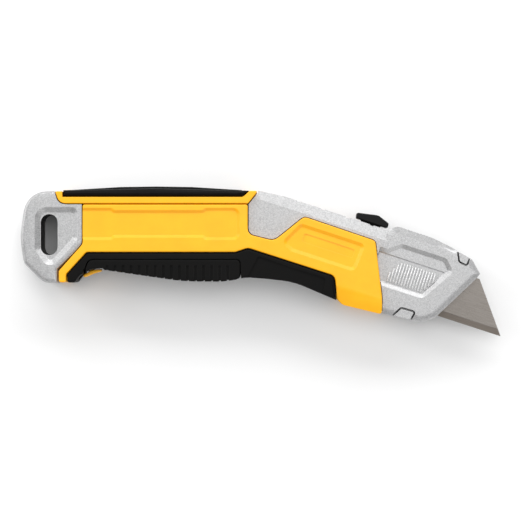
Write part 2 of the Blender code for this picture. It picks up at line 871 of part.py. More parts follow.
def side_panel(name, side):
    panel = half_slab(
        name,
        grow(panel_outline(), -SEAM / 2),
        CORE_HALF + GAP,
        PANEL_HALF,
        side,
        handle_frame,
        "yellow",
        PANEL_EDGE,
        2,
    )
    cut(panel, *panel_recess(side))
    low, high = sorted((side * (PANEL_HALF - LABEL_DEPTH), side * (PANEL_HALF + 3)))
    label = [nose(12.4, 15.7, 0.8), nose(33.0, 15.7, 0.8), nose(33.0, 12.3, 0.8), nose(12.4, 12.3, 0.8)]
    chin = slope_cutter("chin", 31, 54, PANEL_HALF, 0.6, PANEL_HALF - 2.2, -6.5, side)
    cut(panel, slab("label", label, low, high, handle_frame), chin)
    return panel


def top_rail():
    outline = grow(rail_outline(), -SEAM / 2)
    edge = RAIL_EDGE
    rail = slab("top_rail", outline, -RAIL_HALF, RAIL_HALF, handle_frame, "yellow", edge, edge, 2)
    seat = grow(top_grip_outline(), GAP)
    cut(rail, slab("grip_seat", seat, -THROUGH, THROUGH, handle_frame))
    return rail


def top_grip():
    half, edge = TOP_GRIP_HALF, TOP_GRIP_EDGE
    grip = slab("top_grip", top_grip_outline(), -half, half, handle_frame, "rubber", edge, edge, 2)
    half, edge = RIDGE_HALF, RIDGE_EDGE
    join(grip, slab("ridge", ridge_outline(), -half, half, handle_frame, None, edge, edge))
    return grip


def belly_grip(name, side):
    grip = half_slab(
        name,
        grow(belly_outline(), -SEAM / 2),
        SEAM / 2,
        BELLY_HALF,
        side,
        handle_frame,
        "rubber",
        BELLY_EDGE,
        2,
    )
    low, high = sorted((side * (BELLY_HALF - PAD_DEPTH), side * (BELLY_HALF + 3)))
    pad = [nose(-2.0, 1.6, 0.8), nose(-4.2, -12.0), nose(28.0, -12.0), nose(25.5, 1.6, 1.0)]
    cut(grip, slab("pad_" + name, pad, low, high, handle_frame))
    reach = CORE_HALF + GAP
    front = PIVOT[0] + KNUCKLE_RADIUS - 0.3 + SEAM
    below_knuckle = box(PIVOT[0] - 2 * KNUCKLE_RADIUS, front, -14, PIVOT[1])
    over_latch = box(DOOR_REAR_X + 0.2 - SEAM, DOOR_REAR_X + 9.0, -14, -3.0)
    bay_room = box(TRAY_REAR_X - 1.0, front, -14, 4)
    cut(
        grip,
        slab("core_room", grow(core_outline(), GAP), -reach, reach, handle_frame),
        slab("door_room", grow(door_outline(), SEAM), -THROUGH, THROUGH, handle_frame),
        slab("below_knuckle", below_knuckle, -THROUGH, THROUGH, handle_frame),
        slab("over_latch", over_latch, -THROUGH, THROUGH, handle_frame),
        slab("bay_room", bay_room, -BAY_HALF, BAY_HALF, handle_frame),
    )
    return grip


def lanyard_liner():
    x = TAIL_X + SLOT_X
    half = TAIL_HALF - TAIL_POCKET_DEPTH - 0.6 - GAP
    wall = 2 * LINER_WALL
    liner = slab(
        "lanyard_liner",
        obround(x, SLOT_Y, SLOT_WIDTH + wall, SLOT_HEIGHT + wall),
        -half,
        half,
        handle_frame,
        "plastic",
    )
    hole = obround(x, SLOT_Y, SLOT_WIDTH, SLOT_HEIGHT)
    cut(liner, slab("liner_hole", hole, -THROUGH, THROUGH, handle_frame))
    return liner


# ---------------------------------------------------------------- blades


def blade_mesh(name):
    """A trapezoid blade lying along +x, its cutting edge on y = 0 from x = 0 back."""
    half = BLADE_THICKNESS / 2
    thin = 0.03
    bm = bmesh.new()
    rise = BLADE_BEVEL / BLADE_WIDTH * BLADE_END_SLANT
    rows = [(0.0, 0.0, thin), (BLADE_BEVEL, rise, half), (BLADE_WIDTH, BLADE_END_SLANT, half)]
    rings = []
    for y, inset, w in rows:
        x0, x1 = -BLADE_LENGTH + inset, -inset
        ring = [(x0, y, -w), (x1, y, -w), (x1, y, w), (x0, y, w)]
        rings.append([bm.verts.new(Vector(p) * MM) for p in ring])
    for low, high in zip(rings, rings[1:]):
        for i in range(4):
            j = (i + 1) % 4
            bm.faces.new((low[i], low[j], high[j], high[i]))
    bm.faces.new(rings[0][::-1])
    bm.faces.new(rings[-1])
    bmesh.ops.recalc_face_normals(bm, faces=bm.faces)
    mesh = bpy.data.meshes.new(name)
    bm.to_mesh(mesh)
    bm.free()
    return mesh


def notched_blade(name, parent, x, y, w):
    """A blade with the two locating notches in its back."""
    blade = put(name, blade_mesh(name), parent, "blade")
    blade.location += Vector((x, y, w)) * MM
    boxes = []
    for offset in (-NOTCH_OFFSET, NOTCH_OFFSET):
        middle = x - BLADE_LENGTH / 2 + offset
        top = y + BLADE_WIDTH
        boxes.append((middle, top, w, NOTCH_WIDTH, 2 * NOTCH_DEPTH, 4))
    cut(blade, bars(name + "_notches", boxes, parent))
    return blade


def spare_blades():
    for k in range(SPARE_BLADES):
        w = (k - (SPARE_BLADES - 1) / 2) * SPARE_PITCH
        notched_blade(f"spare_blade_{k + 1}", magazine_frame, SPARE_FRONT_X, SPARE_EDGE_Y, w)


# ---------------------------------------------------------------- blade carriage


def post_place():
    middle = BLADE_TIP_S - BLADE_LENGTH / 2
    return middle - NOTCH_OFFSET, BLADE_BACK_N - NOTCH_DEPTH + 1.5


def blade_carrier():
    inner = BLADE_THICKNESS / 2 + GAP
    ear_rear = NECK_REAR - GAP
    ear_front = NECK_FRONT + GAP
    outline = [
        (CARRIER_REAR, CARRIER_FLOOR, 1.0),
        (CARRIER_FRONT, CARRIER_FLOOR, 1.0),
        (CARRIER_FRONT, CARRIER_TOP, 1.0),
        (ear_front, CARRIER_TOP, 0.0),
        (ear_front, SADDLE_FLOOR, 0.0),
        (ear_rear, SADDLE_FLOOR, 0.0),
        (ear_rear, CARRIER_TOP, 0.0),
        (CARRIER_REAR, CARRIER_TOP, 1.0),
    ]
    carrier = slab("blade_carrier", outline, -CARRIER_HALF, -inner, blade_frame, "plastic")
    ear_half = SLOT_HALF - GAP
    for k, s in enumerate((ear_rear - EAR, ear_front)):
        ear = box(s, s + EAR, SADDLE_FLOOR - 2, TRACK_TOP - 1.0)
        join(carrier, slab(f"ear_{k}", ear, -ear_half, ear_half, blade_frame))
    s, n = post_place()
    join(carrier, rod("post", s, n, -CARRIER_HALF + 0.5, BLADE_THICKNESS / 2, 1.2, blade_frame, None, 16))
    return carrier


def blade_clip():
    """The flat spring that holds the blade on the carrier's post."""
    s, n = post_place()
    inner = BLADE_THICKNESS / 2 + GAP
    outline = box(s - 5.5, s + 3.0, n - 5.0, CARRIER_TOP, 1.0)
    clip = slab("blade_clip", outline, inner, inner + 0.7, blade_frame, "steel")
    cut(clip, rod("clip_hole", s, n, -4, 4, 1.5, blade_frame, None, 16))
    return clip


def arch_strip(s0, s1, foot, rise, thick):
    """A thin bowed strip: the outline between two arcs."""
    steps = 10
    lower, upper = [], []
    for k in range(steps + 1):
        share = k / steps
        s = s0 + (s1 - s0) * share
        n = foot + rise * math.sin(math.pi * share)
        lower.append((s, n, 0.0))
        upper.append((s, n + thick, 0.0))
    return lower + upper[::-1]


def button_spring():
    strip = arch_strip(NECK_REAR + 0.2, NECK_FRONT - 0.2, SADDLE_FLOOR + GAP, 0.8, 0.3)
    return slab("button_spring", strip, -SLOT_HALF + 2 * GAP, SLOT_HALF - 2 * GAP, blade_frame, "steel")


def thumb_button():
    foot = TRACK_TOP + BUTTON_PRESS + GAP
    middle = (BUTTON_REAR + BUTTON_FRONT) / 2
    head = [
        (BUTTON_REAR + 0.4, foot, 0.3),
        (BUTTON_REAR, BUTTON_TOP - 1.5, 0.4),
        (middle + 0.6, BUTTON_TOP - 0.1, 0.8),
        (middle + 1.9, BUTTON_TOP, 0.8),
        (BUTTON_FRONT - 0.1, BUTTON_TOP - 1.7, 0.6),
        (BUTTON_FRONT, foot, 0.3),
    ]
    button = slab("thumb_button", head, -BUTTON_HALF, BUTTON_HALF, button_frame, "button", 0.4, 0.4, 2)
    neck_half = SLOT_HALF - GAP
    neck = box(NECK_REAR, NECK_FRONT, NECK_BOTTOM, foot + 1.0)
    tooth = box(middle - 0.8, middle + 0.8, NECK_BOTTOM, INDEX_BOTTOM - GAP)
    join(
        button,
        slab("neck", neck, -neck_half, neck_half, button_frame),
        slab("tooth", tooth, 0, CARRIER_HALF, button_frame),
    )
    return button


def index_strip():
    """The notched strip above the button's tooth, in the left half."""
    pitch = BLADE_TRAVEL / (STOPS - 1)
    middle = (BUTTON_REAR + BUTTON_FRONT) / 2
    rear = middle - BLADE_TRAVEL - 4
    outline = box(rear, middle + 4, INDEX_BOTTOM, CARRIER_TOP + 0.1)
    strip = slab("index_strip", outline, SLOT_HALF + 0.2, CARRIER_HALF, blade_frame, "steel")
    boxes = [(middle - pitch * k, INDEX_BOTTOM, 2, 2.0, 1.0, 6) for k in range(STOPS)]
    cut(strip, bars("index_notches", boxes, blade_frame))
    return strip


def blade_guide(name, side):
    """A low rail that the blade's lower half runs along."""
    rear = CARRIER_REAR - 2.0
    outline = box(rear, CARRIER_FRONT, CHANNEL_FLOOR + GAP, GUIDE_TOP, 0.5)
    inner = BLADE_THICKNESS / 2 + GAP
    return half_slab(name, outline, inner, CHANNEL_HALF - GAP, side, blade_frame, "plastic")


# ---------------------------------------------------------------- magazine


def magazine_door():
    half, edge = BELLY_HALF, DOOR_EDGE
    door = slab("magazine_door", door_outline(), -half, half, magazine_frame, "rubber", edge, edge, 2)
    reach = CORE_HALF + GAP
    groove_half = TRAY_HALF + GAP
    groove_y = SPARE_EDGE_Y - TRAY_FLOOR - 2 * GAP
    lug_front = box(PIVOT[0] - KNUCKLE_RADIUS - 0.9, 0, -12, -2)
    pocket = box(DOOR_REAR_X + 1.8, DOOR_REAR_X + 6.7, -6, -1.2)
    cut(
        door,
        slab("door_core_room", grow(core_outline(), GAP), -reach, reach, magazine_frame),
        slab("door_lug_room", lug_front, -reach, reach, magazine_frame),
        slab("groove", box(-THROUGH * 2, 0, groove_y, 12), -groove_half, groove_half, magazine_frame),
        rod("door_bore", *PIVOT, -PIN_HALF - GAP, PIN_HALF + GAP, PIN_RADIUS + GAP, magazine_frame),
        slab("latch_pocket", pocket, -3.0, 3.0, magazine_frame),
        *rib_grooves(),
    )
    return door


def lower_edge(outline, x):
    """The lowest y at which an outline crosses x."""
    points = rounded(outline)
    heights = []
    for (x0, y0), (x1, y1) in zip(points, points[1:] + points[:1]):
        if (x0 - x) * (x1 - x) < 0:
            heights.append(y0 + (y1 - y0) * (x - x0) / (x1 - x0))
    return min(heights)


def rib_grooves():
    """Upright grooves on both flanks, then the notches that carry them across the lower edge."""
    flanks, notches = [], []
    groove_top = -1.4
    for k in range(RIB_COUNT):
        x = PIVOT[0] - 3.0 - RIB_PITCH * k
        bottom = lower_edge(door_outline(), x)
        height = groove_top - bottom + 1.0
        for side in (-1, 1):
            flanks.append((x, groove_top - height / 2, side * BELLY_HALF, RIB_GROOVE, height, 1.0))
        notches.append((x, bottom, 0, 0.9 * RIB_GROOVE, 0.8, 30))
    yield bars("rib_grooves", flanks, magazine_frame)
    yield bars("edge_notches", notches, magazine_frame)


def magazine_latch():
    """The finger tab at the door's rear end."""
    rear = DOOR_REAR_X - 0.7
    outline = [
        (rear, -5.35, 0.5),
        (rear + 0.7, -6.1, 0.4),
        (rear + 3.8, -4.75, 2.0),
        (rear + 7.0, -3.8, 0.4),
        (rear + 7.0, -2.85, 0.4),
        (rear + 3.6, -3.25, 2.0),
    ]
    latch = slab("magazine_latch", outline, -LATCH_HALF, LATCH_HALF, latch_frame, "yellow", 0.3, 0.3)
    post = box(DOOR_REAR_X + 2.1, DOOR_REAR_X + 3.2, -4.6, -1.6)
    join(latch, slab("latch_post", post, -2.4, 2.4, latch_frame))
    return latch


def latch_spring():
    """A folded strip between the latch's post and the door."""
    start = DOOR_REAR_X + 3.2 + LATCH_PRESS + GAP
    end = DOOR_REAR_X + 6.7 - GAP
    count = 8
    lower, upper = [], []
    for k in range(count + 1):
        x = start + (end - start) * k / count
        y = -2.2 + (0.25 if k % 2 else -0.25)
        lower.append((x, y, 0.0))
        upper.append((x, y + 0.35, 0.0))
    return slab("latch_spring", lower + upper[::-1], -2.2, 2.2, magazine_frame, "steel")


def magazine_tray():
    """The open trough that the spare blades stand in."""
    bottom = SPARE_EDGE_Y - TRAY_FLOOR - GAP
    outline = [
        (TRAY_REAR_X, bottom, 0.4),
        (TRAY_FRONT_X, bottom, 0.4),
        (TRAY_FRONT_X, 2.0, 0.4),
        (TRAY_FRONT_X - 4.4, TRAY_TOP, 0.4),
        (TRAY_REAR_X + 4.4, TRAY_TOP, 0.4),
        (TRAY_REAR_X, 2.0, 0.4),
    ]
    tray = slab("magazine_tray", outline, -TRAY_HALF, TRAY_HALF, magazine_frame, "plastic")
    trough = box(SPARE_REAR_X - GAP, SPARE_FRONT_X + GAP, SPARE_EDGE_Y - GAP, TRAY_TOP + 5)
    window = box(SPARE_REAR_X + 18, SPARE_FRONT_X - 18, 1.5, TRAY_TOP - 1.5, 1.0)
    cut(
        tray,
        slab("trough", trough, -TRAY_SLOT_HALF, TRAY_SLOT_HALF, magazine_frame),
        slab("tray_window", window, -THROUGH, THROUGH, magazine_frame),
    )
    return tray


# ---------------------------------------------------------------- assembly

# look name: colour, roughness, metallic
LOOKS = {
    "cast": ((0.62, 0.62, 0.63), 0.42, 0.75),
    "yellow": ((0.98, 0.60, 0.04), 0.38),
    "rubber": ((0.012, 0.012, 0.011), 0.62),
    "plastic": ((0.02, 0.02, 0.02), 0.45),
    "button": ((0.014, 0.014, 0.015), 0.35),
    "steel": ((0.55, 0.55, 0.56), 0.35, 1.0),
    "blade": ((0.42, 0.40, 0.38), 0.34, 1.0),
}


def collection(name):
    made = bpy.data.collections.new(name)
    bpy.context.scene.collection.children.link(made)
    return made


def framed(name, parent, x=0.0, y=0.0, z=0.0, turn=0.0):
    """An empty that a body's pieces hang from."""
    obj = empty(name, parent)
    obj.location = Vector((x, y, z)) * MM
    obj.rotation_euler.z = turn
    return obj


for old in list(bpy.data.objects):
    bpy.data.objects.remove(old)

parts = collection("utility_knife")
helpers = collection("cutters")

# The part's origin is under the middle of its bounding box.
tip_x, tip_y, _ = nose(BLADE_TIP_S, BLADE_EDGE_N)
middle_x = (min(x for x, _ in rounded(tail_block())) + tip_x) / 2
middle_y = (max(y for _, y in rounded(ridge_outline())) + tip_y) / 2

handle_frame = framed("handle_frame", None, -middle_x, -middle_y, PANEL_HALF)
blade_frame = framed("blade_slide_axis", handle_frame, turn=-NOSE_TILT)
button_frame = framed("button_press_axis", blade_frame)
magazine_frame = framed("magazine_hinge_axis", handle_frame, *PIVOT)
magazine_frame["offset"] = (*PIVOT, 0.0)
latch_frame = framed("latch_press_axis", magazine_frame)
latch_frame["offset"] = (*PIVOT, 0.0)

shared_cuts = shell_cuts()
left_shell = body_shell("left_body_shell", 1)
right_shell = body_shell("right_body_shell", -1)
interlock(left_shell, right_shell)
body_screws(left_shell, right_shell)
side_panel("left_side_panel", 1)
side_panel("right_side_panel", -1)
top_rail()
top_grip()
belly_grip("left_belly_grip", 1)
belly_grip("right_belly_grip", -1)
lanyard_liner()

notched_blade("blade", blade_frame, BLADE_TIP_S, BLADE_EDGE_N, 0.0)
blade_carrier()
blade_clip()
thumb_button()
button_spring()
index_strip()
blade_guide("left_blade_guide", 1)
blade_guide("right_blade_guide", -1)

magazine_door()
magazine_latch()
latch_spring()
magazine_tray()
spare_blades()
rod("magazine_hinge_pin", *PIVOT, -PIN_HALF, PIN_HALF, PIN_RADIUS, handle_frame, "steel")
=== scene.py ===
"""Looks for the retractable utility knife: materials, softened edges, light, floor and camera.

Each outer moulded or cast node is replaced by a copy of its own mesh with rounded edges, so that
corners catch the light as such parts do. The other nodes keep their meshes and get better
materials. The finger ribs, drawn in a near-white silver that is a painted highlight, and the lip
in the shells' seam, black as painted shade, are added here.
"""

import json
import math

import bmesh
import bpy
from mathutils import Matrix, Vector

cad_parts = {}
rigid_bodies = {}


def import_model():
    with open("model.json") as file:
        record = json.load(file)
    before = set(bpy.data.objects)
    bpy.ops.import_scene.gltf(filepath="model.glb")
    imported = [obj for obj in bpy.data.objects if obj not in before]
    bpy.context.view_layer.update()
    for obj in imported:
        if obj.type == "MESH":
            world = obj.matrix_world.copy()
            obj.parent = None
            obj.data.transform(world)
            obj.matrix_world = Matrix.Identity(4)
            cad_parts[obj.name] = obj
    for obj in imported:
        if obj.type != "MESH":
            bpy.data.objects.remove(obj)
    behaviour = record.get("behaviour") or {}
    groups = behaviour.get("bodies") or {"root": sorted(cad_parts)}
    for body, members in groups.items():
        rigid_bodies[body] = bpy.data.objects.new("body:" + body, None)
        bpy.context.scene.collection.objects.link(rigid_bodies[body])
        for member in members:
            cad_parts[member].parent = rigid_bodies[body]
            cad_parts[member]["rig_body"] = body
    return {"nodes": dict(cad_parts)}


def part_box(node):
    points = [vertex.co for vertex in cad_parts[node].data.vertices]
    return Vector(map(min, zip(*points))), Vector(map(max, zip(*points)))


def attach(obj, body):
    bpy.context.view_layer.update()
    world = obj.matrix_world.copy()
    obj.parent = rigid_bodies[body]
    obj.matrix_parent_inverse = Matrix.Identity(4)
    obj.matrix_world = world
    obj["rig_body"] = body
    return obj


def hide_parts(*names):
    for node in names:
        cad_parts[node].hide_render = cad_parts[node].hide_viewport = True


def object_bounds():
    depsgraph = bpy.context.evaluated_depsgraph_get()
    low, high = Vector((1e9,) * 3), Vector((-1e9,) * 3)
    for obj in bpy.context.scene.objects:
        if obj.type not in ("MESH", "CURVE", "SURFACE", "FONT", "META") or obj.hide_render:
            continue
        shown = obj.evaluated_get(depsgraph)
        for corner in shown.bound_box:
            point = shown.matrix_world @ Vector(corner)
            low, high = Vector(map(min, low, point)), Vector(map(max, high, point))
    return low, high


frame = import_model()
cad_low, cad_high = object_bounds()
centre = (cad_low + cad_high) / 2

MM = 0.001

# The nose leans down by NOSE_TILT from the handle
NOSE_TILT = -math.radians(18.1)

# Where the belly's covers lie, the cast body reaches CORE_HALF out from the middle plane; the shells'
# faces there, out to CORE_HALF and COVER_MARGIN, are painted black as painted shade in the gaps
CORE_HALF = 7.6 * MM
COVER_MARGIN = 0.2 * MM

# An edge that turns by more than SHARP_ANGLE is rounded; faces within FLAT_ANGLE are one flat
SHARP_ANGLE = math.radians(28.0)
FLAT_ANGLE = math.radians(0.6)
MERGE_DISTANCE = 0.0005 * MM
SHELL_ROUNDING = 0.12 * MM

# The blade's point, past the lower corner of the blade's mouth and up from it
BLADE_OUT = 26.4 * MM
BLADE_EDGE_UP = 1.3 * MM

# The ground bevel along the blade's edge
BEVEL_WIDTH = 2.4 * MM

# Finger ribs: distances back from the lower corner of the mouth
RIB_COUNT = 16
RIB_PITCH = 1.13 * MM
RIB_LEAD = 6.05 * MM
RIB_BEND = 9.2 * MM
RIB_REAR = 23.2 * MM

# Finger ribs: their ends, up from that corner, and how fast each end's line rises to the front
RIB_LOW = 8.2 * MM
RIB_HIGH = 16.3 * MM
RIB_REAR_TOP = 11.2 * MM
RIB_FRONT_SLOPE = 1.45
RIB_REAR_SLOPE = 1.6

# Finger ribs: their section, and how far out from the middle plane they start
RIB_RADIUS = 0.35 * MM
RIB_HEIGHT = 0.80 * MM
RIB_FOOT = 7.02 * MM

# The lip in the seam: its middle is back from that corner and below it
LIP_LENGTH = 30 * MM
LIP_HEIGHT = 1.0 * MM
LIP_THICKNESS = 1.0 * MM
LIP_BACK = 52.5 * MM
LIP_BELOW = 1.7 * MM


# ---------------------------------------------------------------- node helpers


class Shader:
    """A small wrapper that adds nodes to one material and links them."""

    def __init__(self, name):
        self.material = bpy.data.materials.new(name)
        self.material.use_nodes = True
        self.tree = self.material.node_tree
        self.bsdf = self.tree.nodes["Principled BSDF"]
        self.place = self.add("ShaderNodeTexCoord").outputs["Object"]

    def add(self, kind, **settings):
        node = self.tree.nodes.new(kind)
        for key, value in settings.items():
            setattr(node, key, value)
        return node

    def link(self, source, socket):
        self.tree.links.new(source, socket)

    def feed(self, value, socket):
        """Links a socket, or sets a plain value on it."""
        if isinstance(value, bpy.types.NodeSocket):
            self.link(value, socket)
        else:
            socket.default_value = value

    def noise(self, scale, detail=4.0, rough=0.6):
        node = self.add("ShaderNodeTexNoise")
        node.inputs["Scale"].default_value = scale
        node.inputs["Detail"].default_value = detail
        node.inputs["Roughness"].default_value = rough
        self.link(self.place, node.inputs["Vector"])
        return node.outputs["Fac"]

    def cells(self, scale, output="Distance"):
        node = self.add("ShaderNodeTexVoronoi")
        node.inputs["Scale"].default_value = scale
        self.link(self.place, node.inputs["Vector"])
        return node.outputs[output]

    def spread(self, value, low, high, to_low=0.0, to_high=1.0):
        node = self.add("ShaderNodeMapRange", clamp=True)
        self.link(value, node.inputs["Value"])
        node.inputs["From Min"].default_value = low
        node.inputs["From Max"].default_value = high
        node.inputs["To Min"].default_value = to_low
        node.inputs["To Max"].default_value = to_high
        return node.outputs["Result"]

    def math(self, operation, a, b=0.0):
        node = self.add("ShaderNodeMath", operation=operation)
        self.feed(a, node.inputs[0])
        self.feed(b, node.inputs[1])
        return node.outputs[0]

    def mix(self, factor, a, b):
        node = self.add("ShaderNodeMix", data_type="RGBA")
        self.feed(factor, node.inputs["Factor"])
        self.feed(a, node.inputs["A"])
        self.feed(b, node.inputs["B"])
        return node.outputs["Result"]

    def edges(self, radius, gain):
        """1 on a sharp edge and 0 on a flat: how far a rounded normal leans from the true one."""
        bevel = self.add("ShaderNodeBevel", samples=6)
        bevel.inputs["Radius"].default_value = radius
        geometry = self.add("ShaderNodeNewGeometry")
        dot = self.add("ShaderNodeVectorMath", operation="DOT_PRODUCT")
        self.link(bevel.outputs["Normal"], dot.inputs[0])
        self.link(geometry.outputs["Normal"], dot.inputs[1])
        lean = self.math("SUBTRACT", 1.0, dot.outputs["Value"])
        return self.spread(lean, 0.0, gain)

    def bump(self, height, distance, strength, normal=None):
        node = self.add("ShaderNodeBump")
        node.inputs["Distance"].default_value = distance
        node.inputs["Strength"].default_value = strength
        self.link(height, node.inputs["Height"])
        if normal is not None:
            self.link(normal, node.inputs["Normal"])
        return node.outputs["Normal"]

    def finish(self, colour, roughness, normal, **fixed):
        self.feed(colour, self.bsdf.inputs["Base Color"])
        self.feed(roughness, self.bsdf.inputs["Roughness"])
        self.link(normal, self.bsdf.inputs["Normal"])
        for name, value in fixed.items():
            self.bsdf.inputs[name.replace("_", " ")].default_value = value
        return self.material


def rgb(red, green, blue):
    """A display colour, 0 to 255, as the linear colour the shader takes."""

    def linear(c):
        c /= 255
        return c / 12.92 if c <= 0.04045 else ((c + 0.055) / 1.055) ** 2.4

    return (linear(red), linear(green), linear(blue), 1.0)


# ------------------------------------------------------------------- materials


def cast_paint(name, dark, light, smoothest):
    """Silver paint with fine metal flake over a lightly pebbled casting; its edges are lighter and
    smoother, partly rubbed wear and partly a painted highlight.
    """
    s = Shader(name)
    flake_value = s.add("ShaderNodeSeparateColor")
    s.link(s.cells(3600.0, output="Color"), flake_value.inputs["Color"])
    flake = flake_value.outputs["Red"]
    cloud = s.noise(160.0, 3.0)
    pebble = s.noise(2600.0, 3.0, 0.5)
    base = s.mix(s.spread(flake, 0.0, 1.0), rgb(*dark), rgb(*light))
    base = s.mix(s.spread(cloud, 0.35, 0.65, 0.0, 0.18), base, rgb(178, 179, 181))
    # Near-white edges: partly rubbed wear, partly a painted highlight where rounded edges catch light
    worn_and_highlit = s.math("MULTIPLY", s.edges(0.25 * MM, 0.10), s.spread(s.noise(420.0), 0.38, 0.6))
    base = s.mix(s.math("MULTIPLY", worn_and_highlit, 0.55), base, rgb(232, 232, 232))
    rough = s.spread(flake, 0.0, 1.0, smoothest, smoothest + 0.14)
    rough = s.math("SUBTRACT", rough, s.math("MULTIPLY", worn_and_highlit, 0.10))
    tilt = s.bump(flake, 0.02 * MM, 0.10)
    normal = s.bump(pebble, 0.04 * MM, 0.30, tilt)
    return s.finish(base, rough, normal, Metallic=0.62, Coat_Weight=0.12, Coat_Roughness=0.25)


def yellow_plastic():
    """Satin moulded plastic with a fine spark-eroded grain; its edges are a lighter yellow, a painted
    highlight, and a little smoother from handling.
    """
    s = Shader("yellow_moulded_plastic")
    cloud = s.noise(90.0, 4.0)
    grain = s.noise(3400.0, 2.0, 0.55)
    base = s.mix(s.spread(cloud, 0.3, 0.7), rgb(249, 174, 3), rgb(253, 182, 7))
    edge = s.edges(0.3 * MM, 0.12)
    # Lighter yellow on the edges is a painted highlight; the lower roughness there is handling polish
    base = s.mix(s.math("MULTIPLY", edge, 0.25), base, rgb(255, 212, 80))
    rough = s.spread(grain, 0.35, 0.65, 0.38, 0.50)
    rough = s.math("SUBTRACT", rough, s.math("MULTIPLY", edge, 0.06))
    flow = s.noise(260.0, 2.0)
    normal = s.bump(grain, 0.03 * MM, 0.22, s.bump(flow, 0.06 * MM, 0.10))
    return s.finish(base, rough, normal, Specular_IOR_Level=0.4, Coat_Weight=0.04, Coat_Roughness=0.3)


def black_rubber():
    """Moulded grip rubber: matte, faintly mottled, with a soft pebble and paler edges, partly dust
    and partly a painted highlight.
    """
    s = Shader("black_grip_rubber")
    mottle = s.noise(240.0, 5.0)
    pebble = s.cells(2600.0)
    dust = s.noise(60.0, 6.0, 0.7)
    base = s.mix(s.spread(mottle, 0.3, 0.7), rgb(3, 3, 3), rgb(9, 8, 7))
    # Paler edges: partly dust, partly a painted highlight along the rounded edges
    edge = s.math("MULTIPLY", s.edges(0.3 * MM, 0.14), s.spread(dust, 0.4, 0.65))
    base = s.mix(s.math("MULTIPLY", edge, 0.35), base, rgb(58, 57, 56))
    rough = s.spread(mottle, 0.3, 0.7, 0.52, 0.66)
    normal = s.bump(pebble, 0.035 * MM, 0.30, s.bump(mottle, 0.05 * MM, 0.12))
    return s.finish(base, rough, normal, Specular_IOR_Level=0.12)


def black_plastic(name, dark, light, rough_low, rough_high):
    """Glass-filled black plastic with a fine erosion grain and polished edges, drawn lighter as a
    painted highlight.
    """
    s = Shader(name)
    grain = s.noise(3000.0, 3.0, 0.6)
    cloud = s.noise(180.0)
    base = s.mix(s.spread(cloud, 0.3, 0.7), rgb(dark, dark, dark), rgb(light, light, light))
    edge = s.edges(0.25 * MM, 0.12)
    # Lighter edges are a painted highlight; the lower roughness there is the polish
    base = s.mix(s.math("MULTIPLY", edge, 0.3), base, rgb(78, 78, 78))
    rough = s.spread(grain, 0.3, 0.7, rough_low, rough_high)
    rough = s.math("SUBTRACT", rough, s.math("MULTIPLY", edge, 0.08))
    return s.finish(base, rough, s.bump(grain, 0.03 * MM, 0.25), Specular_IOR_Level=0.2)


def brushed_steel(name, tilt, dark, light, edge_line=None):
    """Ground steel with long fine scratches; edge_line adds the browner grinding by an edge.

    tilt turns the scratches about +Z. edge_line is (point, normal, width) of a straight edge.
    """
    s = Shader(name)
    along = s.add("ShaderNodeMapping")
    along.inputs["Rotation"].default_value = (0.0, 0.0, -tilt)
    s.link(s.place, along.inputs["Vector"])
    stretch = s.add("ShaderNodeMapping")
    stretch.inputs["Scale"].default_value = (120.0, 5200.0, 5200.0)
    s.link(along.outputs["Vector"], stretch.inputs["Vector"])
    lines = s.add("ShaderNodeTexNoise")
    lines.inputs["Scale"].default_value = 1.0
    lines.inputs["Detail"].default_value = 5.0
    s.link(stretch.outputs["Vector"], lines.inputs["Vector"])
    scratch = lines.outputs["Fac"]
    stain = s.noise(150.0, 4.0)
    base = s.mix(s.spread(scratch, 0.3, 0.7), rgb(*dark), rgb(*light))
    base = s.mix(s.spread(stain, 0.45, 0.75, 0.0, 0.25), base, rgb(*dark))
    rough = s.spread(scratch, 0.3, 0.7, 0.24, 0.40)
    normal = s.bump(scratch, 0.01 * MM, 0.25)
    if edge_line:
        point, across, width = edge_line
        offset = s.add("ShaderNodeVectorMath", operation="SUBTRACT")
        s.link(s.place, offset.inputs[0])
        offset.inputs[1].default_value = point
        reach = s.add("ShaderNodeVectorMath", operation="DOT_PRODUCT")
        s.link(offset.outputs["Vector"], reach.inputs[0])
        reach.inputs[1].default_value = across
        near = s.spread(reach.outputs["Value"], width, 0.85 * width)
        base = s.mix(s.math("MULTIPLY", near, 0.5), base, rgb(132, 122, 112))
        rough = s.math("ADD", rough, s.math("MULTIPLY", near, 0.12))
    return s.finish(base, rough, normal, Metallic=0.9)


# --------------------------------------------------------------- edge rounding


def takes_gap_shade(place):
    """True for a place on the cast body that lies under the belly's covers, where the shell is
    painted black as painted shade in the gaps round them.
    """
    height = abs(place.z - centre.z)
    beside = grip_low.x < place.x < grip_high.x and place.y < grip_high.y
    return beside and height < CORE_HALF + COVER_MARGIN


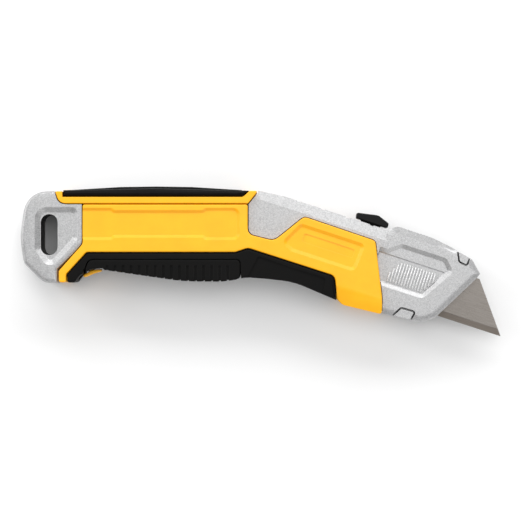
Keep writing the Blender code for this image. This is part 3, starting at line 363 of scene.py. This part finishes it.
def softened(name, material, width, under=None):
    """A copy of one CAD node with its sharp edges rounded by width, standing for that node.

    Faces hidden under the belly's covers take the material under, if one is given: on the shells this
    is the black inner plastic, painted shade that keeps the gaps round the covers dark.
    """
    node = frame["nodes"][name]
    mesh = node.data.copy()
    mesh.name = "soft_" + name
    bm = bmesh.new()
    bm.from_mesh(mesh)
    bmesh.ops.remove_doubles(bm, verts=bm.verts, dist=MERGE_DISTANCE)
    bmesh.ops.dissolve_limit(
        bm, angle_limit=FLAT_ANGLE, verts=bm.verts, edges=bm.edges, delimit={"NORMAL"}
    )
    for face in bm.faces:
        face.smooth = True
    bm.to_mesh(mesh)
    bm.free()
    mesh.materials.clear()
    mesh.materials.append(material)
    if under is not None:
        mesh.materials.append(under)
        for face in mesh.polygons:
            face.material_index = int(takes_gap_shade(face.center))
    piece = bpy.data.objects.new("fine_" + name, mesh)
    bpy.context.scene.collection.objects.link(piece)
    bevel = piece.modifiers.new("rounded_edges", "BEVEL")
    bevel.width = width
    bevel.segments = 2
    bevel.limit_method = "ANGLE"
    bevel.angle_limit = SHARP_ANGLE
    bevel.use_clamp_overlap = True
    bevel.harden_normals = False
    weighted = piece.modifiers.new("even_shading", "WEIGHTED_NORMAL")
    weighted.keep_sharp = True
    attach(piece, node["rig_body"])
    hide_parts(name)
    return piece


def half_round(bm, rear_end, front_end, across, out, radius, height):
    """Adds one half-round bar between two points, with domed ends; its flat side is buried."""
    along = (front_end - rear_end).normalized()
    arc_steps, end_steps = 6, 3
    end_turn = math.radians(80)
    rings = []
    for end, sign in ((rear_end, -1.0), (front_end, 1.0)):
        for k in range(end_steps + 1):
            share = (end_steps - k if sign < 0 else k) / end_steps
            shrink = math.cos(share * end_turn)
            middle = end + along * sign * radius * math.sin(share * end_turn)
            ring = []
            for j in range(arc_steps + 1):
                angle = math.pi * j / arc_steps
                offset = across * radius * math.cos(angle) + out * height * math.sin(angle)
                ring.append(bm.verts.new(middle + offset * shrink))
            rings.append(ring)
    for low, high in zip(rings, rings[1:]):
        for j in range(arc_steps):
            bm.faces.new((low[j], low[j + 1], high[j + 1], high[j]))
        bm.faces.new((low[-1], low[0], high[0], high[-1]))
    bm.faces.new(rings[0][::-1])
    bm.faces.new(rings[-1])


def finger_ribs(name, side, material):
    """Half-round ribs over the cast ones in the nose recess, so that each catches a line of light."""
    out = Vector((0.0, 0.0, side))
    base = centre.z + side * RIB_FOOT
    bm = bmesh.new()
    for k in range(RIB_COUNT):
        back = RIB_LEAD + RIB_PITCH * k
        low = RIB_LOW + max(RIB_BEND - back, 0.0) * RIB_FRONT_SLOPE
        high = min(RIB_HIGH, RIB_REAR_TOP + (RIB_REAR - back) * RIB_REAR_SLOPE)
        ends = []
        for level in (low, high):
            place = mouth_corner - along_nose * back + up_nose * level
            ends.append(Vector((place.x, place.y, base)))
        half_round(bm, ends[0], ends[1], along_nose, out, RIB_RADIUS, RIB_HEIGHT)
    bmesh.ops.recalc_face_normals(bm, faces=bm.faces)
    mesh = bpy.data.meshes.new(name)
    bm.to_mesh(mesh)
    bm.free()
    for face in mesh.polygons:
        face.use_smooth = True
    mesh.materials.append(material)
    piece = bpy.data.objects.new(name, mesh)
    bpy.context.scene.collection.objects.link(piece)
    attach(piece, "handle")


def seam_shade_lip(material):
    """The lip by which the cast halves meet under the blade; it shuts the seam to light. It is drawn
    in the black inner plastic as painted shade, so the seam reads as a dark gap.
    """
    size = Vector((LIP_LENGTH, LIP_HEIGHT, LIP_THICKNESS))
    mesh = bpy.data.meshes.new("seam_shade_lip")
    bm = bmesh.new()
    bmesh.ops.create_cube(bm, size=1.0)
    bmesh.ops.scale(bm, vec=size, verts=bm.verts)
    bm.to_mesh(mesh)
    bm.free()
    mesh.materials.append(material)
    piece = bpy.data.objects.new("seam_shade_lip", mesh)
    bpy.context.scene.collection.objects.link(piece)
    place = mouth_corner - along_nose * LIP_BACK - up_nose * LIP_BELOW
    piece.location = (place.x, place.y, centre.z)
    piece.rotation_euler = (0.0, 0.0, NOSE_TILT)
    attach(piece, "handle")


def repaint(name, material):
    """Gives a CAD node that keeps its own mesh a better material."""
    node = frame["nodes"][name]
    for slot in node.material_slots:
        slot.material = material


# -------------------------------------------------------------- the knife itself

grip_low, grip_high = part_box("left_belly_grip")
along_nose = Vector((math.cos(NOSE_TILT), math.sin(NOSE_TILT), 0.0))
up_nose = Vector((-math.sin(NOSE_TILT), math.cos(NOSE_TILT), 0.0))
blade_places = [vertex.co for vertex in frame["nodes"]["blade"].data.vertices]
edge_point = min(blade_places, key=lambda place: place.dot(up_nose))

# The blade's point stands past the mouth by a known length, so the mouth's place follows from it.
blade_point = max(blade_places, key=lambda place: place.dot(along_nose))
mouth_corner = blade_point - along_nose * BLADE_OUT - up_nose * BLADE_EDGE_UP

silver = cast_paint("silver_cast_paint", (150, 150, 151), (190, 190, 190), 0.34)
# A near-white copy of the silver paint for the finger ribs: a painted highlight, drawing the ribs
# lighter than the same silver round them
painted_highlight_silver = cast_paint("painted_highlight_silver_ribs", (240, 240, 240), (251, 251, 251), 0.24)
yellow = yellow_plastic()
rubber = black_rubber()
button_black = black_plastic("satin_black_button", 4, 8, 0.48, 0.60)
inner_black = black_plastic("inner_black_plastic", 26, 36, 0.42, 0.56)
blade_steel = brushed_steel(
    "ground_blade_steel", NOSE_TILT, (104, 99, 94), (136, 131, 126),
    (tuple(edge_point), tuple(up_nose), BEVEL_WIDTH),
)
spare_steel = brushed_steel("spare_blade_steel", 0.0, (150, 146, 142), (190, 186, 182))
spring_steel = brushed_steel("spring_steel_wire", 0.0, (140, 140, 142), (196, 196, 198))

SOFTENED = (
    (("left_side_panel", "right_side_panel", "top_rail", "magazine_latch"), yellow, 0.16),
    (("left_belly_grip", "right_belly_grip", "top_grip", "magazine_door"), rubber, 0.18),
    (("thumb_button",), button_black, 0.12),
    (("lanyard_liner",), inner_black, 0.12),
)
REPAINTED = (
    (("blade_carrier", "left_blade_guide", "right_blade_guide", "magazine_tray"), inner_black),
    (("blade",), blade_steel),
    (("spare_blade_1", "spare_blade_2", "spare_blade_3"), spare_steel),
    (("body_screw_front", "body_screw_middle", "body_screw_rear"), spring_steel),
    (("blade_clip", "button_spring", "index_strip", "latch_spring"), spring_steel),
    (("magazine_hinge_pin",), spring_steel),
)

# The finger ribs take the near-white silver, a painted highlight along each rib
finger_ribs("finger_ribs_left", 1.0, painted_highlight_silver)
finger_ribs("finger_ribs_right", -1.0, painted_highlight_silver)
# The black lip is painted shade in the seam under the blade
seam_shade_lip(inner_black)
# Under the belly's covers the silver shells take the black inner plastic: painted shade in the gaps
# round the covers
for name in ("left_body_shell", "right_body_shell"):
    softened(name, silver, SHELL_ROUNDING, under=inner_black)
for names, material, width in SOFTENED:
    for name in names:
        softened(name, material, width * MM)
for names, material in REPAINTED:
    for name in names:
        repaint(name, material)


# ---------------------------------------------------------- floor, light, camera


def pale_floor():
    """A plain pale floor that the knife rests on."""
    reach = 1.6
    gap = 0.05 * MM
    mesh = bpy.data.meshes.new("pale_floor")
    corners = [(-reach, -reach, 0), (reach, -reach, 0), (reach, reach, 0), (-reach, reach, 0)]
    mesh.from_pydata(corners, [], [(0, 1, 2, 3)])
    floor = bpy.data.objects.new("pale_floor", mesh)
    bpy.context.scene.collection.objects.link(floor)
    floor.location = (centre.x, centre.y, cad_low.z - gap)
    s = Shader("pale_floor")
    tone = s.spread(s.noise(6.0, 3.0), 0.3, 0.7)
    colour = s.mix(tone, rgb(240, 240, 240), rgb(244, 244, 244))
    mesh.materials.append(s.finish(colour, 0.85, s.bump(s.noise(900.0), 0.02 * MM, 0.1)))


def soft_light(name, place, size_x, size_y, power):
    """A rectangular area light aimed at the middle of the knife."""
    light = bpy.data.lights.new(name, "AREA")
    light.shape = "RECTANGLE"
    light.size = size_x
    light.size_y = size_y
    light.energy = power
    lamp = bpy.data.objects.new(name, light)
    bpy.context.scene.collection.objects.link(lamp)
    lamp.location = centre + Vector(place)
    lamp.rotation_mode = "QUATERNION"
    lamp.rotation_quaternion = (-Vector(place)).to_track_quat("-Z", "Y")


def studio_light():
    """A wide key from the spine side, weaker lights round it, and a pale sky.

    Each place is measured from the knife's middle.
    """
    soft_light("key", (0.10, 0.80, 0.52), 1.5, 0.40, 8.4)
    soft_light("left", (-0.80, 0.30, 0.50), 0.5, 0.5, 3.2)
    soft_light("overhead", (0.10, 0.25, 1.20), 0.8, 0.6, 3.6)
    soft_light("fill_front", (0.35, -0.80, 0.45), 0.9, 0.4, 1.7)
    bpy.context.scene.view_settings.view_transform = "Standard"
    world = bpy.data.worlds.new("soft_grey_sky")
    world.use_nodes = True
    background = world.node_tree.nodes["Background"]
    background.inputs["Color"].default_value = (1.0, 1.0, 1.0, 1.0)
    background.inputs["Strength"].default_value = 0.50
    bpy.context.scene.world = world


def camera_above():
    """Looks straight down on the knife's left side, with its spine towards the top of the view."""
    distance = 0.90
    view_width = 206.7 * MM
    middle_height = 17 * MM
    aside, below = 1.24 * MM, 1.36 * MM
    camera = bpy.data.cameras.new("camera")
    camera.sensor_width = 36.0
    camera.lens = camera.sensor_width * distance / view_width
    camera.clip_start = 0.01
    camera.clip_end = 10.0
    eye = bpy.data.objects.new("camera", camera)
    bpy.context.scene.collection.objects.link(eye)
    eye.location = (centre.x + aside, centre.y - below, distance + middle_height)
    eye.rotation_euler = (0.0, 0.0, 0.0)
    bpy.context.scene.camera = eye


pale_floor()
studio_light()
camera_above()
